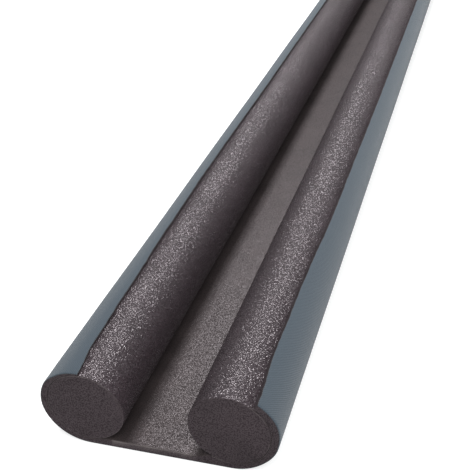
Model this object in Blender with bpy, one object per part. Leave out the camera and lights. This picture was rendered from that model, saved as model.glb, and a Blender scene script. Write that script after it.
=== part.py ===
"""Draught excluder for the bottom of a door.

Two round foam rods lie side by side on a foam-backed cloth cover. The cover is
flat between the rods, where it passes under the door, and is turned up round
the outer side of each rod, where it ends in a plain cut edge near the top.

Metres, +Z up. X runs across the two rods, Y along them. The origin is on the
floor, under the middle of the part.
"""
import math

import bmesh
import bpy

# Length of the part. It is drawn in stretches that are shorter near the near end,
# where the sheet's cut edges drift most
LENGTH = 0.950
STRETCHES = 28
STRETCH_GROWTH = 1.25

# The foam rods: where the middle of each lies across the part, half its width and
# height, the thickness to which it presses the cover below it, and the phase of the
# slight swelling along it
RODS = {
    "left": {
        "middle": -0.02915,
        "half_width": 0.0157,
        "half_height": 0.0154,
        "bed": 0.0024,
        "swell_phase": 0.6,
    },
    "right": {
        "middle": 0.02845,
        "half_width": 0.0158,
        "half_height": 0.0155,
        "bed": 0.0028,
        "swell_phase": 2.9,
    },
}
ROD_SIDES = 40
SWELL = 0.00015
SWELL_WAVE = 0.180

# The cover: its sheet between the rods, and the line of glue under them
WEB_THICKNESS = 0.0031
WEB_STEPS = 6
CRADLE_STEPS = 2
GLUE_GAP = 0.0003

# How thick the turned-up sheet is at an angle round each rod, in degrees from +X
SHEET = {
    "left": [
        {"degrees": 270.0, "thick": 0.0024},
        {"degrees": 180.0, "thick": 0.0024},
        {"degrees": 150.0, "thick": 0.0022},
        {"degrees": 120.0, "thick": 0.0014},
        {"degrees": 90.0, "thick": 0.0010},
    ],
    "right": [
        {"degrees": -90.0, "thick": 0.0028},
        {"degrees": -50.0, "thick": 0.0025},
        {"degrees": -15.0, "thick": 0.0030},
        {"degrees": 20.0, "thick": 0.0036},
        {"degrees": 60.0, "thick": 0.0032},
    ],
}

# Where the sheet's cut edge lies on each rod, in the same degrees, at distances from
# the near end
EDGES = {
    "left": [
        {"along": 0.000, "degrees": 92.0},
        {"along": 0.020, "degrees": 98.5},
        {"along": 0.050, "degrees": 101.5},
        {"along": 0.110, "degrees": 108.0},
        {"along": 0.160, "degrees": 110.5},
        {"along": 0.330, "degrees": 108.5},
        {"along": 0.950, "degrees": 110.0},
    ],
    "right": [
        {"along": 0.000, "degrees": 52.5},
        {"along": 0.030, "degrees": 56.0},
        {"along": 0.070, "degrees": 55.5},
        {"along": 0.150, "degrees": 50.5},
        {"along": 0.320, "degrees": 49.0},
        {"along": 0.950, "degrees": 50.5},
    ],
}
SIDE_STEPS = {"left": 25, "right": 21}

# Colours of the foam and of the cloth
FOAM_COLOUR = (0.048, 0.040, 0.043, 1.0)
CLOTH_COLOUR = (0.150, 0.185, 0.210, 1.0)


def clear_scene():
    """Start from an empty scene."""
    for old in list(bpy.data.objects):
        bpy.data.objects.remove(old, do_unlink=True)


def ease(share):
    """A smooth step from 0 to 1."""
    held = min(max(share, 0.0), 1.0)
    return held * held * (3.0 - 2.0 * held)


def read_table(rows, column, place, value):
    """The value at a place between two rows of a table, eased from one to the next."""
    for low, high in zip(rows, rows[1:]):
        share = (place - low[column]) / (high[column] - low[column])
        if 0.0 <= share <= 1.0:
            return low[value] + (high[value] - low[value]) * ease(share)
    return rows[-1][value]


def stations():
    """Distances from the near end at which a section is drawn."""
    shares = [step / STRETCHES for step in range(STRETCHES + 1)]
    return [LENGTH * share**STRETCH_GROWTH for share in shares]


def swell(name, along):
    """How far a rod's skin stands out at a distance from the near end."""
    return SWELL * math.sin(2.0 * math.pi * along / SWELL_WAVE + RODS[name]["swell_phase"])


def point_round_rod(name, along, degrees, clearance):
    """A point at an angle round a rod, standing off its skin by the clearance."""
    rod = RODS[name]
    half_width = rod["half_width"] + swell(name, along)
    half_height = rod["half_height"] + swell(name, along)
    middle_z = rod["bed"] + GLUE_GAP + half_height
    angle = math.radians(degrees)
    x = rod["middle"] + (half_width + clearance) * math.cos(angle)
    z = middle_z + (half_height + clearance) * math.sin(angle)
    return x, z


def rod_outline(name, along):
    """The closed outline of one rod."""
    turn = 360.0 / ROD_SIDES
    return [point_round_rod(name, along, turn * side, 0.0) for side in range(ROD_SIDES)]


def turned_up_side(name, along):
    """Outer and inner points of the sheet, from its cut edge down to the floor."""
    edge = read_table(EDGES[name], "along", along, "degrees")
    bottom = SHEET[name][0]["degrees"]
    steps = SIDE_STEPS[name]
    outer = []
    inner = []
    for step in range(steps + 1):
        share = step / steps
        degrees = edge * (1.0 - share) + bottom * share
        thickness = read_table(SHEET[name], "degrees", degrees, "thick")
        outer.append(point_round_rod(name, along, degrees, GLUE_GAP + thickness))
        inner.append(point_round_rod(name, along, degrees, GLUE_GAP))
    return outer, inner


def cradle(name, along):
    """Inner points where the sheet rises from under a rod to the web's full thickness."""
    rod = RODS[name]
    rise = (WEB_THICKNESS - rod["bed"]) / (rod["half_height"] + swell(name, along) + GLUE_GAP)
    reach = math.degrees(math.acos(1.0 - rise))
    bottom = SHEET[name][0]["degrees"]
    inward = 1.0 if name == "left" else -1.0
    turns = [inward * reach * step / CRADLE_STEPS for step in range(1, CRADLE_STEPS + 1)]
    return [point_round_rod(name, along, bottom + turn, GLUE_GAP) for turn in turns]


def spread(start, end, height):
    """Points of the flat web between two sides, at one height."""
    shares = [step / WEB_STEPS for step in range(1, WEB_STEPS)]
    return [(start + (end - start) * share, height) for share in shares]


def cover_outline(along):
    """The closed outline of the cover: its underside first, then its inner side."""
    left_outer, left_inner = turned_up_side("left", along)
    right_outer, right_inner = turned_up_side("right", along)
    left_cradle = cradle("left", along)
    right_cradle = cradle("right", along)
    under = spread(left_outer[-1][0], right_outer[-1][0], 0.0)
    over = spread(right_cradle[-1][0], left_cradle[-1][0], WEB_THICKNESS)
    underside = left_outer + under + right_outer[::-1]
    inner_side = right_inner + right_cradle + over + left_cradle[::-1] + left_inner[::-1]
    return underside + inner_side


def plain_material(name, colour, roughness):
    """A plain matt material."""
    material = bpy.data.materials.new(name)
    material.use_nodes = True
    shader = material.node_tree.nodes["Principled BSDF"]
    shader.inputs["Base Color"].default_value = colour
    shader.inputs["Roughness"].default_value = roughness
    shader.inputs["Metallic"].default_value = 0.0
    return material


def drawn_through(name, outline_at, material):
    """Join the outlines drawn at every station into one closed solid."""
    shape = bmesh.new()
    loops = []
    for along in stations():
        y = along - LENGTH / 2.0
        loops.append([shape.verts.new((x, y, z)) for x, z in outline_at(along)])
    for near, far in zip(loops, loops[1:]):
        for index in range(len(near)):
            shape.faces.new((near[index - 1], near[index], far[index], far[index - 1]))
    shape.faces.new(loops[0])
    shape.faces.new(loops[-1][::-1])
    bmesh.ops.recalc_face_normals(shape, faces=shape.faces[:])
    mesh = bpy.data.meshes.new(name)
    shape.to_mesh(mesh)
    shape.free()
    mesh.materials.append(material)
    mesh.shade_smooth()
    mesh.set_sharp_from_angle(angle=math.radians(40.0))
    solid = bpy.data.objects.new(name, mesh)
    bpy.context.scene.collection.objects.link(solid)
    return solid


def build():
    """Two rods and the cover that holds them."""
    clear_scene()
    foam = plain_material("foam", FOAM_COLOUR, 0.60)
    cloth = plain_material("cloth", CLOTH_COLOUR, 0.85)
    for name in RODS:
        drawn_through("rod_" + name, lambda along, name=name: rod_outline(name, along), foam)
    drawn_through("cover", cover_outline, cloth)


build()
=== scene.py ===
import math

import bpy
from mathutils import Matrix, Vector, noise


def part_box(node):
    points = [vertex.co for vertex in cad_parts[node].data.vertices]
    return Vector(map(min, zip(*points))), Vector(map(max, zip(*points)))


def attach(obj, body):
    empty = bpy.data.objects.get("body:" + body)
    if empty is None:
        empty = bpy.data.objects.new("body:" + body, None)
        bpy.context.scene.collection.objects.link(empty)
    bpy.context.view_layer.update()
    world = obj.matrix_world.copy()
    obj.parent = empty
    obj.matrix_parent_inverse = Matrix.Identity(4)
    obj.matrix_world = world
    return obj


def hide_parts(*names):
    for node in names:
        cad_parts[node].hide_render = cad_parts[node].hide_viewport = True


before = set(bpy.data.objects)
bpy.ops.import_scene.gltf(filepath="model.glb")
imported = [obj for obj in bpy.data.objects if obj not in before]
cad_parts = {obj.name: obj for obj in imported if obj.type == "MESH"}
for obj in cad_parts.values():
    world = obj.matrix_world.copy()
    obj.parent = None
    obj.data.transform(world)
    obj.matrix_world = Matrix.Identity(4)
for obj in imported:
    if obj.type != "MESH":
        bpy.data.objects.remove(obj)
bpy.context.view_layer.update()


# Camera
# It stands a little to the right of the near end, above it, and looks down along the
# draught excluder, leaning slightly. The far third runs out of view.
CAMERA_PLACE = Vector((0.10699, -0.68625, 0.23722))
CAMERA_TURN = math.radians(18.559)
CAMERA_DIP = math.radians(30.999)
CAMERA_LEAN = math.radians(-3.861)
CAMERA_LENS_MM = 64.34

camera = bpy.data.objects.new("camera", bpy.data.cameras.new("camera"))
bpy.context.scene.collection.objects.link(camera)
camera.data.lens = CAMERA_LENS_MM
camera.matrix_world = (
    Matrix.Translation(CAMERA_PLACE)
    @ Matrix.Rotation(CAMERA_TURN, 4, "Z")
    @ Matrix.Rotation(math.pi / 2.0 - CAMERA_DIP, 4, "X")
    @ Matrix.Rotation(CAMERA_LEAN, 4, "Z")
)
bpy.context.scene.camera = camera


# Foam rods
# Two round rods of brown-black polyethylene foam. They are extruded, which leaves a
# crinkled skin of flattened cells that glints, and cut square at the ends with a knife.
ROD_NODES = {"foam_rod_left": "rod_left", "foam_rod_right": "rod_right"}
ROD_BOXES = {node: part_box(node) for node in ROD_NODES.values()}
ROD_AROUND = 96
ROD_ALONG = 980
ROD_SWELL = 0.00005
ROD_SWELL_WAVE = 0.180
ROD_SWELL_PHASE = {"rod_left": 0.6, "rod_right": 2.9}

# The line of glue between rod and cover, and how far each of them stands into it
GLUE_GAP = 0.0003
SNUG = 0.00012

# Shallow dents in the skin, the angles between which it is bare, and how it fades there
LUMPS = [
    {"depth": 0.00008, "wave": 0.0075},
    {"depth": 0.00005, "wave": 0.0030},
]
ROD_BARE = {"rod_left": (-70.0, 96.0), "rod_right": (58.0, 250.0)}
BARE_FADE = 10.0

# The rounded rim of a cut end, with the share of a painted highlight on each of its rings, and the rings
# of the cut inside it
RIM = [
    {"inward": 0.00045, "share": 1.000, "rim_highlight": 0.0},
    {"inward": 0.00012, "share": 0.996, "rim_highlight": 0.4},
    {"inward": 0.00000, "share": 0.982, "rim_highlight": 0.2},
    {"inward": 0.00000, "share": 0.965, "rim_highlight": 0.0},
]
CUT_RINGS = [0.90, 0.78, 0.64, 0.50, 0.36, 0.22, 0.10]
CUT_DENTS = {"depth": 0.00012, "wave": 0.0040}
SHARP_EDGE = math.radians(50.0)
SKIN, CUT = range(2)

# The painted highlight along the cut edges comes in patches of about this size, stronger or weaker than
# the mean
HIGHLIGHT_WAVE = 0.009
HIGHLIGHT_SPREAD = 0.9
ROD_HIGHLIGHT = 0.5

# How the foam's cells lie: shares of a cell by which they wander and dome, the distances
# from a cell's middle at which its pore begins and ends (painted darker as shade, and rougher), and the
# slow patches of tone
NOISE_MEAN = (0.5, 0.5, 0.5)
CELL_WANDER = 0.5
CELL_DOME = -0.35
PORE = {"begins": 0.42, "ends": 0.68, "rougher": 0.40}
PATCHES_PER_METRE = 60.0
PATCH_NOISE = {"low": 0.3, "high": 0.7}
PATCH_TONE = {"low": 0.80, "high": 1.20}

# The finishes of the foam; the darker colour of each paints shade into the pores
FOAM_TINT = (1.0, 0.90, 0.95, 1.0)
# Painted highlight: the pale colour laid along the rims of the cuts
FOAM_RIM_HIGHLIGHT = (0.150, 0.134, 0.132, 1.0)
SKIN_FINISH = {
    "pore_shade": (0.011, 0.007, 0.009, 1.0),
    "light": (0.029, 0.020, 0.024, 1.0),
    "cell": 0.00054,
    "bump": 0.00033,
    "roughness": 0.25,
    "shine": 0.60,
}
CUT_FINISH = {
    "pore_shade": (0.018, 0.013, 0.015, 1.0),
    "light": (0.034, 0.026, 0.029, 1.0),
    "cell": 0.00055,
    "bump": 0.00012,
    "roughness": 0.75,
    "shine": 0.25,
}


def placed(tree, kind, settings=None, sockets=None):
    """One node with its settings, and the values of its sockets that nothing feeds."""
    node = tree.nodes.new(kind)
    for name, value in (settings or {}).items():
        setattr(node, name, value)
    for name, value in (sockets or {}).items():
        node.inputs[name].default_value = value
    return node


def effect(name, inputs, outputs):
    """A new shared effect with number sockets, and its ends."""
    group = bpy.data.node_groups.new(name, "ShaderNodeTree")
    group.interface.new_socket(name="Place", in_out="INPUT", socket_type="NodeSocketVector")
    for label, value in inputs.items():
        socket = group.interface.new_socket(name=label, in_out="INPUT", socket_type="NodeSocketFloat")
        socket.default_value = value
    for label in outputs:
        group.interface.new_socket(name=label, in_out="OUTPUT", socket_type="NodeSocketFloat")
    return group, group.nodes.new("NodeGroupInput"), group.nodes.new("NodeGroupOutput")


def foam_cells():
    """Closed cells of foam: their crinkled height, their pores, and slow changes of tone."""
    group, start, end = effect(
        "foam cells",
        {"Cells per metre": 1.0 / SKIN_FINISH["cell"], "Patches per metre": PATCHES_PER_METRE},
        ["Height", "Pore", "Patch"],
    )
    link = group.links.new
    wander = placed(group, "ShaderNodeTexNoise", None, {"Detail": 1.0, "Roughness": 0.5})
    link(start.outputs["Place"], wander.inputs["Vector"])
    link(start.outputs["Cells per metre"], wander.inputs["Scale"])
    centred = placed(group, "ShaderNodeVectorMath", {"operation": "SUBTRACT"})
    centred.inputs[1].default_value = NOISE_MEAN
    link(wander.outputs["Color"], centred.inputs[0])
    cell_size = placed(group, "ShaderNodeMath", {"operation": "DIVIDE"}, {0: CELL_WANDER})
    link(start.outputs["Cells per metre"], cell_size.inputs[1])
    bend = placed(group, "ShaderNodeVectorMath", {"operation": "SCALE"})
    link(centred.outputs["Vector"], bend.inputs[0])
    link(cell_size.outputs[0], bend.inputs["Scale"])
    bent = placed(group, "ShaderNodeVectorMath", {"operation": "ADD"})
    link(start.outputs["Place"], bent.inputs[0])
    link(bend.outputs["Vector"], bent.inputs[1])
    cells = placed(group, "ShaderNodeTexVoronoi", {"feature": "F1"}, {"Randomness": 1.0})
    link(bent.outputs["Vector"], cells.inputs["Vector"])
    link(start.outputs["Cells per metre"], cells.inputs["Scale"])
    from_middle = placed(group, "ShaderNodeVectorMath", {"operation": "SUBTRACT"})
    link(bent.outputs["Vector"], from_middle.inputs[0])
    link(cells.outputs["Position"], from_middle.inputs[1])
    slope = placed(group, "ShaderNodeVectorMath", {"operation": "SUBTRACT"})
    slope.inputs[1].default_value = NOISE_MEAN
    link(cells.outputs["Color"], slope.inputs[0])
    rise = placed(group, "ShaderNodeVectorMath", {"operation": "DOT_PRODUCT"})
    link(from_middle.outputs["Vector"], rise.inputs[0])
    link(slope.outputs["Vector"], rise.inputs[1])
    tilted = placed(group, "ShaderNodeMath", {"operation": "MULTIPLY"})
    link(rise.outputs["Value"], tilted.inputs[0])
    link(start.outputs["Cells per metre"], tilted.inputs[1])
    dome = placed(group, "ShaderNodeMath", {"operation": "MULTIPLY"}, {1: CELL_DOME})
    link(cells.outputs["Distance"], dome.inputs[0])
    height = placed(group, "ShaderNodeMath", {"operation": "ADD"})
    link(tilted.outputs[0], height.inputs[0])
    link(dome.outputs[0], height.inputs[1])
    link(height.outputs[0], end.inputs["Height"])
    pore = placed(
        group,
        "ShaderNodeMapRange",
        {"interpolation_type": "SMOOTHSTEP"},
        {"From Min": PORE["begins"], "From Max": PORE["ends"], "To Min": 0.0, "To Max": 1.0},
    )
    link(cells.outputs["Distance"], pore.inputs["Value"])
    link(pore.outputs["Result"], end.inputs["Pore"])
    patch = placed(group, "ShaderNodeTexNoise", None, {"Detail": 3.0, "Roughness": 0.6})
    link(start.outputs["Place"], patch.inputs["Vector"])
    link(start.outputs["Patches per metre"], patch.inputs["Scale"])
    link(patch.outputs["Fac"], end.inputs["Patch"])
    return group


def foam_material(name, cells_group, finish):
    """Foam, darkened in its pores by painted shade, lighter on its crests, and lightest where a painted
    highlight runs along the rim of a cut.
    """
    material = bpy.data.materials.new(name)
    material.use_nodes = True
    tree = material.node_tree
    link = tree.links.new
    shader = tree.nodes["Principled BSDF"]
    shader.inputs["Specular IOR Level"].default_value = finish["shine"]
    shader.inputs["Specular Tint"].default_value = FOAM_TINT
    place = placed(tree, "ShaderNodeTexCoord")
    cells = placed(
        tree,
        "ShaderNodeGroup",
        {"node_tree": cells_group},
        {"Cells per metre": 1.0 / finish["cell"], "Patches per metre": PATCHES_PER_METRE},
    )
    link(place.outputs["Object"], cells.inputs["Place"])
    # Painted shade: the pores take the darker colour
    tone = placed(
        tree,
        "ShaderNodeMix",
        {"data_type": "RGBA"},
        {"A": finish["light"], "B": finish["pore_shade"]},
    )
    link(cells.outputs["Pore"], tone.inputs["Factor"])
    patchy = placed(tree, "ShaderNodeHueSaturation")
    brightness = placed(
        tree,
        "ShaderNodeMapRange",
        None,
        {
            "From Min": PATCH_NOISE["low"],
            "From Max": PATCH_NOISE["high"],
            "To Min": PATCH_TONE["low"],
            "To Max": PATCH_TONE["high"],
        },
    )
    link(cells.outputs["Patch"], brightness.inputs["Value"])
    link(brightness.outputs["Result"], patchy.inputs["Value"])
    # Painted highlight: a pale colour mixed in along the rims of the cuts
    rim_highlight = placed(tree, "ShaderNodeAttribute", {"attribute_name": "rim_highlight"})
    highlighted = placed(tree, "ShaderNodeMix", {"data_type": "RGBA"}, {"B": FOAM_RIM_HIGHLIGHT})
    link(rim_highlight.outputs["Fac"], highlighted.inputs["Factor"])
    link(tone.outputs["Result"], highlighted.inputs["A"])
    link(highlighted.outputs["Result"], patchy.inputs["Color"])
    link(patchy.outputs["Color"], shader.inputs["Base Color"])
    rough = placed(
        tree,
        "ShaderNodeMapRange",
        None,
        {
            "To Min": finish["roughness"],
            "To Max": min(1.0, finish["roughness"] + PORE["rougher"]),
        },
    )
    link(cells.outputs["Pore"], rough.inputs["Value"])
    link(rough.outputs["Result"], shader.inputs["Roughness"])
    relief = placed(tree, "ShaderNodeBump", None, {"Strength": 1.0, "Distance": finish["bump"]})
    link(cells.outputs["Height"], relief.inputs["Height"])
    link(relief.outputs["Normal"], shader.inputs["Normal"])
    return material


def dented(point, dents):
    """How far a surface is pressed in at a point, from 0 to the dents' depth."""
    return dents["depth"] * (0.5 + 0.5 * noise.noise(point / dents["wave"]))


def highlighted(point, mean):
    """How strong the painted highlight on a cut edge is at a point, from 0 to 1."""
    return min(max(mean + HIGHLIGHT_SPREAD * noise.noise(point / HIGHLIGHT_WAVE), 0.0), 1.0)


def finished_piece(name, points, rim_highlight, faces, finish_of_face, materials):
    """A smooth shaded piece at the origin, with how strong the painted rim highlight is at each of its
    points.
    """
    mesh = bpy.data.meshes.new(name)
    mesh.from_pydata(points, [], faces)
    for material in materials:
        mesh.materials.append(material)
    mesh.polygons.foreach_set("material_index", finish_of_face)
    mesh.shade_smooth()
    mesh.set_sharp_from_angle(angle=SHARP_EDGE)
    mesh.attributes.new("rim_highlight", "FLOAT", "POINT").data.foreach_set("value", rim_highlight)
    piece = bpy.data.objects.new(name, mesh)
    bpy.context.scene.collection.objects.link(piece)
    return piece


def rod_size(node, y):
    """Half the width and half the height of a rod at a place along it."""
    low, high = ROD_BOXES[node]
    turn = 2.0 * math.pi * (y - low.y) / ROD_SWELL_WAVE + ROD_SWELL_PHASE[node]
    swell = ROD_SWELL * (math.sin(turn) - 1.0)
    return (high.x - low.x) / 2.0 + swell, (high.z - low.z) / 2.0 + swell


def bareness(node, degrees):
    """1 where a rod's skin is bare and 0 where the cover holds it smooth."""
    start, stop = ROD_BARE[node]
    inside = min((degrees - start) % 360.0, (stop - degrees) % 360.0)
    outside = (stop - start) % 360.0
    if inside > outside:
        return 0.0
    return min(inside / BARE_FADE, 1.0)


def rod_section(node, y, share):
    """One ring of a rod: its outline at a place along it, drawn in to a share of its size."""
    low, high = ROD_BOXES[node]
    half_width, half_height = rod_size(node, y)
    middle = Vector(((low.x + high.x) / 2.0, y, low.z + half_height))
    ring = []
    for side in range(ROD_AROUND):
        angle = 2.0 * math.pi * side / ROD_AROUND
        outward = Vector((math.cos(angle), 0.0, math.sin(angle)))
        skin = middle + Vector((outward.x * half_width, 0.0, outward.z * half_height))
        pressed = bareness(node, math.degrees(angle)) * sum(dented(skin, lump) for lump in LUMPS)
        ring.append(middle + (skin + outward * (SNUG - pressed) - middle) * share)
    return ring


def foam_rod(name, node, skin, cut):
    """A rod with its crinkled side and its two cut ends."""
    low, high = ROD_BOXES[node]
    length = high.y - low.y
    rings = []
    for share in reversed(CUT_RINGS):
        rings.append((low.y, share, 0.0))
    for step in reversed(RIM):
        rings.append((low.y + step["inward"], step["share"], step["rim_highlight"]))
    for step in range(1, ROD_ALONG):
        rings.append((low.y + length * step / ROD_ALONG, 1.0, 0.0))
    for step in RIM:
        rings.append((high.y - step["inward"], step["share"], step["rim_highlight"]))
    for share in CUT_RINGS:
        rings.append((high.y, share, 0.0))
    points = []
    rim_highlight = []
    for y, share, ring_highlight in rings:
        inward = 1.0 if y < 0.0 else -1.0
        for point in rod_section(node, y, share):
            if share < 1.0:
                point.y += inward * dented(point, CUT_DENTS)
            points.append(point)
            # How strong the painted rim highlight is at this point
            rim_highlight.append(ring_highlight * highlighted(point, ROD_HIGHLIGHT))
    faces = []
    finish_of_face = []
    cut_rings = len(CUT_RINGS) + len(RIM) - 1
    for ring in range(len(rings) - 1):
        on_cut = ring < cut_rings or ring >= len(rings) - 1 - cut_rings
        for side in range(ROD_AROUND):
            after = (side + 1) % ROD_AROUND
            first = ring * ROD_AROUND
            second = first + ROD_AROUND
            faces.append((first + side, second + side, second + after, first + after))
            finish_of_face.append(CUT if on_cut else SKIN)
    near_hub = len(points)
    points.append(sum(points[:ROD_AROUND], Vector()) / ROD_AROUND)
    far_hub = len(points)
    last = (len(rings) - 1) * ROD_AROUND
    points.append(sum(points[last:last + ROD_AROUND], Vector()) / ROD_AROUND)
    for side in range(ROD_AROUND):
        after = (side + 1) % ROD_AROUND
        faces.append((near_hub, side, after))
        faces.append((far_hub, last + after, last + side))
        finish_of_face.extend((CUT, CUT))
    rim_highlight.extend((0.0, 0.0))
    return finished_piece(name, points, rim_highlight, faces, finish_of_face, [skin, cut])


foam_cells_effect = foam_cells()
rod_skin = foam_material("crinkled foam skin", foam_cells_effect, SKIN_FINISH)
cut_foam = foam_material("cut foam", foam_cells_effect, CUT_FINISH)
for rod_name, rod_node in ROD_NODES.items():
    rod = foam_rod(rod_name, rod_node, rod_skin, cut_foam)
    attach(rod, "root")
    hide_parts(rod_node)


# Cover
# One sheet of blue-grey knit, laminated to thin smooth foam. It lies flat between the
# rods with its foam side up, is glued up round the outside of each, and ends in a cut edge.
COVER_STATIONS = 460
COVER_STATION_GROWTH = 1.3
WRAP_STEPS = {"rod_left": 34, "rod_right": 30}
WEB_STEPS = 40

# The sheet's thickness, how much of it is knit at most, its three layers of points (outer,
# between knit and foam, inner), and the foam squeezed out beside each rod
WEB_THICKNESS = 0.0031
KNIT_THICKNESS = 0.00045
MOST_KNIT = 0.4
LAYERS = 3
WEB_BULGE = {
    "rod_left": {"beside": 0.0040, "width": 0.0028, "height": 0.0004},
    "rod_right": {"beside": 0.0085, "width": 0.0036, "height": 0.0015},
}

# How thick the turned-up sides are at an angle round each rod, in degrees from +X
COVER_THICKNESS = {
    "rod_left": [
        {"degrees": 90.0, "thick": 0.0010},
        {"degrees": 120.0, "thick": 0.0016},
        {"degrees": 150.0, "thick": 0.0026},
        {"degrees": 190.0, "thick": 0.0028},
        {"degrees": 230.0, "thick": 0.0026},
        {"degrees": 270.0, "thick": 0.0024},
    ],
    "rod_right": [
        {"degrees": -90.0, "thick": 0.0028},
        {"degrees": -50.0, "thick": 0.0025},
        {"degrees": -15.0, "thick": 0.0030},
        {"degrees": 20.0, "thick": 0.0036},
        {"degrees": 60.0, "thick": 0.0032},
    ],
}

# Where the cut edges lie, in the same degrees, at distances from the near end
COVER_EDGES = {
    "rod_left": [
        {"along": 0.000, "degrees": 92.0},
        {"along": 0.020, "degrees": 98.5},
        {"along": 0.050, "degrees": 101.5},
        {"along": 0.110, "degrees": 108.0},
        {"along": 0.160, "degrees": 110.5},
        {"along": 0.330, "degrees": 108.5},
        {"along": 0.950, "degrees": 110.0},
    ],
    "rod_right": [
        {"along": 0.000, "degrees": 52.5},
        {"along": 0.030, "degrees": 56.0},
        {"along": 0.070, "degrees": 55.5},
        {"along": 0.150, "degrees": 50.5},
        {"along": 0.320, "degrees": 49.0},
        {"along": 0.950, "degrees": 50.5},
    ],
}

# The bottom of each rod in those degrees, and the small waves along the cut edges, read
# far apart for the two rods so that they differ
COVER_BOTTOM = {"rod_left": 270.0, "rod_right": -90.0}
EDGE_JAGS = [
    {"degrees": 0.60, "wave": 0.011},
    {"degrees": 0.60, "wave": 0.0032},
]
JAGS_APART = 100.0

# The rounded rim at both ends, with a painted highlight only where the sheet lies open between the rods
COVER_RIM = [
    {"inward": 0.00000, "drawn_in": 0.00022, "rim_highlight": 0.5},
    {"inward": 0.00015, "drawn_in": 0.00006, "rim_highlight": 1.0},
    {"inward": 0.00080, "drawn_in": 0.00000, "rim_highlight": 0.0},
]
COVER_HIGHLIGHT = 0.6
UNHIGHLIGHTED_STEPS = {"rod_left": 7, "rod_right": 10}

# The finishes of the knit, of its cut edge (painted darker than the knit, as shade) and of the smooth
# foam (with painted shade in its pores)
KNIT, FACE, FOAM_CUT, KNIT_CUT = range(4)
KNIT_COLOUR = (0.053, 0.070, 0.086, 1.0)
KNIT_SHADE = (0.036, 0.048, 0.062, 1.0)
# Painted shade: the knit's cut edge is coloured darker than the knit itself
SHADED_KNIT_EDGE = (0.030, 0.032, 0.036, 1.0)
KNIT_LOOP = 0.00095
KNIT_GAP = {"deep": 0.05, "level": 0.55}
KNIT_BUMP = 0.00010
KNIT_FINISH = {
    "Roughness": 0.88,
    "Specular IOR Level": 0.12,
    "Sheen Weight": 0.14,
    "Sheen Roughness": 0.5,
}
FACE_FINISH = {
    "pore_shade": (0.025, 0.020, 0.020, 1.0),
    "light": (0.037, 0.029, 0.029, 1.0),
    "cell": 0.00050,
    "bump": 0.00007,
    "roughness": 0.36,
    "shine": 0.35,
}


def eased(rows, column, place, value):
    """The value at a place between two rows of a table, eased from one to the next."""
    for low, high in zip(rows, rows[1:]):
        share = (place - low[column]) / (high[column] - low[column])
        if share <= 1.0:
            held = max(share, 0.0)
            return low[value] + (high[value] - low[value]) * held * held * (3.0 - 2.0 * held)
    return rows[-1][value]


def round_rod(node, y, degrees, clearance):
    """A point at an angle round a rod, standing off its skin by the clearance."""
    low, high = ROD_BOXES[node]
    half_width, half_height = rod_size(node, y)
    angle = math.radians(degrees)
    x = (low.x + high.x) / 2.0 + (half_width + clearance) * math.cos(angle)
    z = low.z + half_height + (half_height + clearance) * math.sin(angle)
    return Vector((x, y, z))


def wrap(node, y):
    """Pairs of outer and inner points, from the cut edge down to the floor."""
    low = ROD_BOXES[node][0]
    edge = eased(COVER_EDGES[node], "along", y - low.y, "degrees")
    for jag in EDGE_JAGS:
        place = Vector((low.x * JAGS_APART, y / jag["wave"], 0.0))
        edge += jag["degrees"] * noise.noise(place)
    bottom = COVER_BOTTOM[node]
    pairs = []
    for step in range(WRAP_STEPS[node] + 1):
        share = step / WRAP_STEPS[node]
        degrees = edge * (1.0 - share) + bottom * share
        thickness = eased(COVER_THICKNESS[node], "degrees", degrees, "thick")
        outer = round_rod(node, y, degrees, GLUE_GAP + thickness)
        inner = round_rod(node, y, degrees, GLUE_GAP - SNUG)
        pairs.append((outer, inner))
    return pairs


def web(y):
    """Pairs of lower and upper points of the flat part, from under one rod to the other."""
    start = round_rod("rod_left", y, COVER_BOTTOM["rod_left"], 0.0).x
    stop = round_rod("rod_right", y, COVER_BOTTOM["rod_right"], 0.0).x
    pairs = []
    for step in range(1, WEB_STEPS):
        x = start + (stop - start) * step / WEB_STEPS
        top = WEB_THICKNESS
        for node, (low, high) in ROD_BOXES.items():
            bulge = WEB_BULGE[node]
            from_middle = x - (low.x + high.x) / 2.0
            beside = (abs(from_middle) - bulge["beside"]) / bulge["width"]
            top += bulge["height"] * math.exp(-beside * beside)
        for low, high in ROD_BOXES.values():
            reach = (x - (low.x + high.x) / 2.0) / ((high.x - low.x) / 2.0)
            if abs(reach) < 1.0:
                half_height = (high.z - low.z) / 2.0
                skin = low.z + half_height * (1.0 - math.sqrt(1.0 - reach * reach))
                top = min(top, skin - GLUE_GAP + SNUG)
        pairs.append((Vector((x, y, 0.0)), Vector((x, y, top))))
    return pairs


def cover_pairs(y):
    """Outer and inner points of the whole sheet, from its left cut edge to its right one."""
    return wrap("rod_left", y) + web(y) + wrap("rod_right", y)[::-1]


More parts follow.
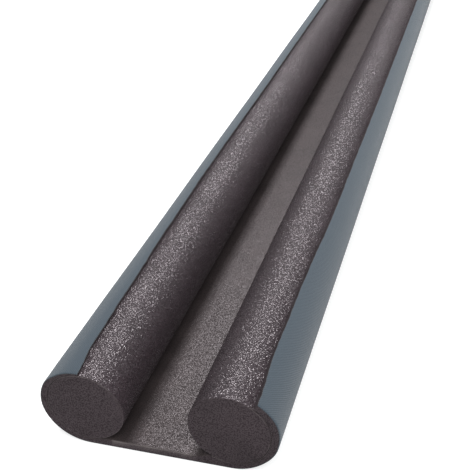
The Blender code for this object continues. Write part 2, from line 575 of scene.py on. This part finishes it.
def knit_loops():
    """A fine knit: rows of small loops, with their height and the shade between them."""
    group, start, end = effect(
        "knit loops",
        {"Wales per metre": 1.0 / KNIT_LOOP, "Courses per metre": 1.0 / KNIT_LOOP},
        ["Height", "Gap"],
    )
    link = group.links.new
    apart = placed(group, "ShaderNodeSeparateXYZ")
    link(start.outputs["Place"], apart.inputs["Vector"])
    waves = []
    for axis, label in (("X", "Wales per metre"), ("Y", "Courses per metre")):
        turns = placed(group, "ShaderNodeMath", {"operation": "MULTIPLY"})
        link(apart.outputs[axis], turns.inputs[0])
        link(start.outputs[label], turns.inputs[1])
        waves.append(turns)
    rows = []
    for source in waves:
        angle = placed(group, "ShaderNodeMath", {"operation": "MULTIPLY"}, {1: 2.0 * math.pi})
        link(source.outputs[0], angle.inputs[0])
        wave = placed(group, "ShaderNodeMath", {"operation": "COSINE"})
        link(angle.outputs[0], wave.inputs[0])
        rows.append(wave)
    both = placed(group, "ShaderNodeMath", {"operation": "MULTIPLY"})
    link(rows[0].outputs[0], both.inputs[0])
    link(rows[1].outputs[0], both.inputs[1])
    height = placed(
        group,
        "ShaderNodeMapRange",
        None,
        {"From Min": -1.0, "From Max": 1.0, "To Min": 0.0, "To Max": 1.0},
    )
    link(both.outputs[0], height.inputs["Value"])
    link(height.outputs["Result"], end.inputs["Height"])
    gap = placed(
        group,
        "ShaderNodeMapRange",
        {"interpolation_type": "SMOOTHSTEP"},
        {"From Min": KNIT_GAP["deep"], "From Max": KNIT_GAP["level"], "To Min": 1.0, "To Max": 0.0},
    )
    link(height.outputs["Result"], gap.inputs["Value"])
    link(gap.outputs["Result"], end.inputs["Gap"])
    return group


def knit_material(name, loops_group, colour, shade):
    """Knitted cloth, darker between its loops."""
    material = bpy.data.materials.new(name)
    material.use_nodes = True
    tree = material.node_tree
    link = tree.links.new
    shader = tree.nodes["Principled BSDF"]
    for socket, value in KNIT_FINISH.items():
        shader.inputs[socket].default_value = value
    place = placed(tree, "ShaderNodeAttribute", {"attribute_name": "across_and_along"})
    loops = placed(
        tree,
        "ShaderNodeGroup",
        {"node_tree": loops_group},
        {"Wales per metre": 1.0 / KNIT_LOOP, "Courses per metre": 1.0 / KNIT_LOOP},
    )
    link(place.outputs["Vector"], loops.inputs["Place"])
    tone = placed(tree, "ShaderNodeMix", {"data_type": "RGBA"}, {"A": colour, "B": shade})
    link(loops.outputs["Gap"], tone.inputs["Factor"])
    link(tone.outputs["Result"], shader.inputs["Base Color"])
    relief = placed(tree, "ShaderNodeBump", None, {"Strength": 1.0, "Distance": KNIT_BUMP})
    link(loops.outputs["Height"], relief.inputs["Height"])
    link(relief.outputs["Normal"], shader.inputs["Normal"])
    return material


def cover_sheet(name, finishes):
    """The whole sheet as one closed mesh, with a line of knit along its cut edges."""
    low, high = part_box("cover")
    length = high.y - low.y
    stations = [(low.y + step["inward"], step["drawn_in"], step["rim_highlight"]) for step in COVER_RIM]
    for step in range(1, COVER_STATIONS):
        along = length * (step / COVER_STATIONS) ** COVER_STATION_GROWTH
        if along > 2.0 * COVER_RIM[-1]["inward"]:
            stations.append((low.y + along, 0.0, 0.0))
    for step in reversed(COVER_RIM):
        stations.append((high.y - step["inward"], step["drawn_in"], step["rim_highlight"]))
    count = len(cover_pairs(low.y))
    highlight_from = WRAP_STEPS["rod_left"] + UNHIGHLIGHTED_STEPS["rod_left"]
    highlight_to = count - WRAP_STEPS["rod_right"] - UNHIGHLIGHTED_STEPS["rod_right"]
    points = []
    places = []
    rim_highlight = []
    for y, drawn_in, station_highlight in stations:
        pairs = cover_pairs(y)
        middle_line = [(outer + inner) / 2.0 for outer, inner in pairs]
        across = [0.0]
        for one, other in zip(middle_line, middle_line[1:]):
            across.append(across[-1] + (other - one).length)
        for number, (outer, inner) in enumerate(pairs):
            through = (inner - outer).normalized()
            knit_depth = min(KNIT_THICKNESS, MOST_KNIT * (inner - outer).length)
            seam = outer + through * knit_depth
            for point in (outer + through * drawn_in, seam, inner - through * drawn_in):
                points.append(point)
                places.append((across[number], y, 0.0))
            open_web = highlight_from <= number < highlight_to
            # Painted highlight along the rim of the open web
            highlight_inside = station_highlight * highlighted(inner, COVER_HIGHLIGHT) if open_web else 0.0
            rim_highlight.extend((0.0, 0.0, highlight_inside))
    width = count * LAYERS

    faces = []
    finish_of_face = []

    def add_face(finish, *corners):
        """One face between corners that are each given by station, pair and layer."""
        faces.append([station * width + pair * LAYERS + layer for station, pair, layer in corners])
        finish_of_face.append(finish)

    last = len(stations) - 1
    end = count - 1
    cuts = ((0, KNIT_CUT), (1, FOAM_CUT))
    for near in range(last):
        far = near + 1
        for a in range(end):
            b = a + 1
            add_face(KNIT, (near, a, 0), (far, a, 0), (far, b, 0), (near, b, 0))
            add_face(FACE, (near, b, 2), (far, b, 2), (far, a, 2), (near, a, 2))
        for layer, finish in cuts:
            under = layer + 1
            add_face(finish, (near, 0, layer), (near, 0, under), (far, 0, under), (far, 0, layer))
            add_face(finish, (near, end, layer), (far, end, layer), (far, end, under), (near, end, under))
    for a in range(end):
        b = a + 1
        for layer, finish in cuts:
            under = layer + 1
            add_face(finish, (0, a, layer), (0, b, layer), (0, b, under), (0, a, under))
            add_face(finish, (last, a, layer), (last, a, under), (last, b, under), (last, b, layer))
    piece = finished_piece(name, points, rim_highlight, faces, finish_of_face, finishes)
    stored = piece.data.attributes.new("across_and_along", "FLOAT_VECTOR", "POINT")
    stored.data.foreach_set("vector", [number for place in places for number in place])
    return piece


knit_loops_effect = knit_loops()
knit = knit_material("blue grey knit", knit_loops_effect, KNIT_COLOUR, KNIT_SHADE)
shaded_knit_edge = knit_material("shaded cut edge of the knit", knit_loops_effect, SHADED_KNIT_EDGE, SHADED_KNIT_EDGE)
foam_face = foam_material("smooth foam face", foam_cells_effect, FACE_FINISH)
cover = cover_sheet("cover_sheet", [knit, foam_face, cut_foam, shaded_knit_edge])
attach(cover, "root")
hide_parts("cover")


# Floor and studio light
# A wide pale floor and even light all round, with one soft lamp high up beyond the far
# end, a little to the left, and a wide soft one high up at the front right.
FLOOR_SIZE = 60.0
FLOOR_DROP = 0.0001
FLOOR_COLOUR = (0.52, 0.52, 0.52, 1.0)
FLOOR_ROUGHNESS = 0.9
FLOOR_GLOW = 0.62
WHITE = (1.0, 1.0, 1.0, 1.0)
WALL_LIGHT = 0.40
LIT_PLACE = Vector((0.0, -0.20, 0.0))
BACK_LAMP = {"place": (-0.10, 0.595, 1.27), "wide": 0.48, "deep": 0.50, "watts": 29.0}
FRONT_LAMP = {"place": (0.75, -1.605, 1.65), "wide": 1.2, "deep": 1.2, "watts": 38.0}

floor_mesh = bpy.data.meshes.new("floor")
half_floor = FLOOR_SIZE / 2.0
floor_mesh.from_pydata(
    [
        (-half_floor, -half_floor, 0.0),
        (half_floor, -half_floor, 0.0),
        (half_floor, half_floor, 0.0),
        (-half_floor, half_floor, 0.0),
    ],
    [],
    [(0, 1, 2, 3)],
)
floor = bpy.data.objects.new("floor", floor_mesh)
bpy.context.scene.collection.objects.link(floor)
floor.location.z = -FLOOR_DROP
floor_paint = bpy.data.materials.new("pale floor")
floor_paint.use_nodes = True
floor_shader = floor_paint.node_tree.nodes["Principled BSDF"]
floor_shader.inputs["Base Color"].default_value = FLOOR_COLOUR
floor_shader.inputs["Roughness"].default_value = FLOOR_ROUGHNESS
floor_shader.inputs["Emission Color"].default_value = WHITE
floor_shader.inputs["Emission Strength"].default_value = FLOOR_GLOW
floor_mesh.materials.append(floor_paint)

walls = bpy.data.worlds.new("white walls")
walls.use_nodes = True
walls.node_tree.nodes["Background"].inputs["Color"].default_value = WHITE
walls.node_tree.nodes["Background"].inputs["Strength"].default_value = WALL_LIGHT
bpy.context.scene.world = walls


def soft_lamp(name, facts):
    """A soft lamp turned towards the near half of the draught excluder."""
    lamp = bpy.data.objects.new(name, bpy.data.lights.new(name, "AREA"))
    bpy.context.scene.collection.objects.link(lamp)
    lamp.data.shape = "RECTANGLE"
    lamp.data.size = facts["wide"]
    lamp.data.size_y = facts["deep"]
    lamp.data.energy = facts["watts"]
    lamp.location = facts["place"]
    lamp.rotation_euler = (LIT_PLACE - lamp.location).to_track_quat("-Z", "Y").to_euler()


soft_lamp("back_lamp", BACK_LAMP)
soft_lamp("front_lamp", FRONT_LAMP)
bpy.context.scene.view_settings.view_transform = "Standard"
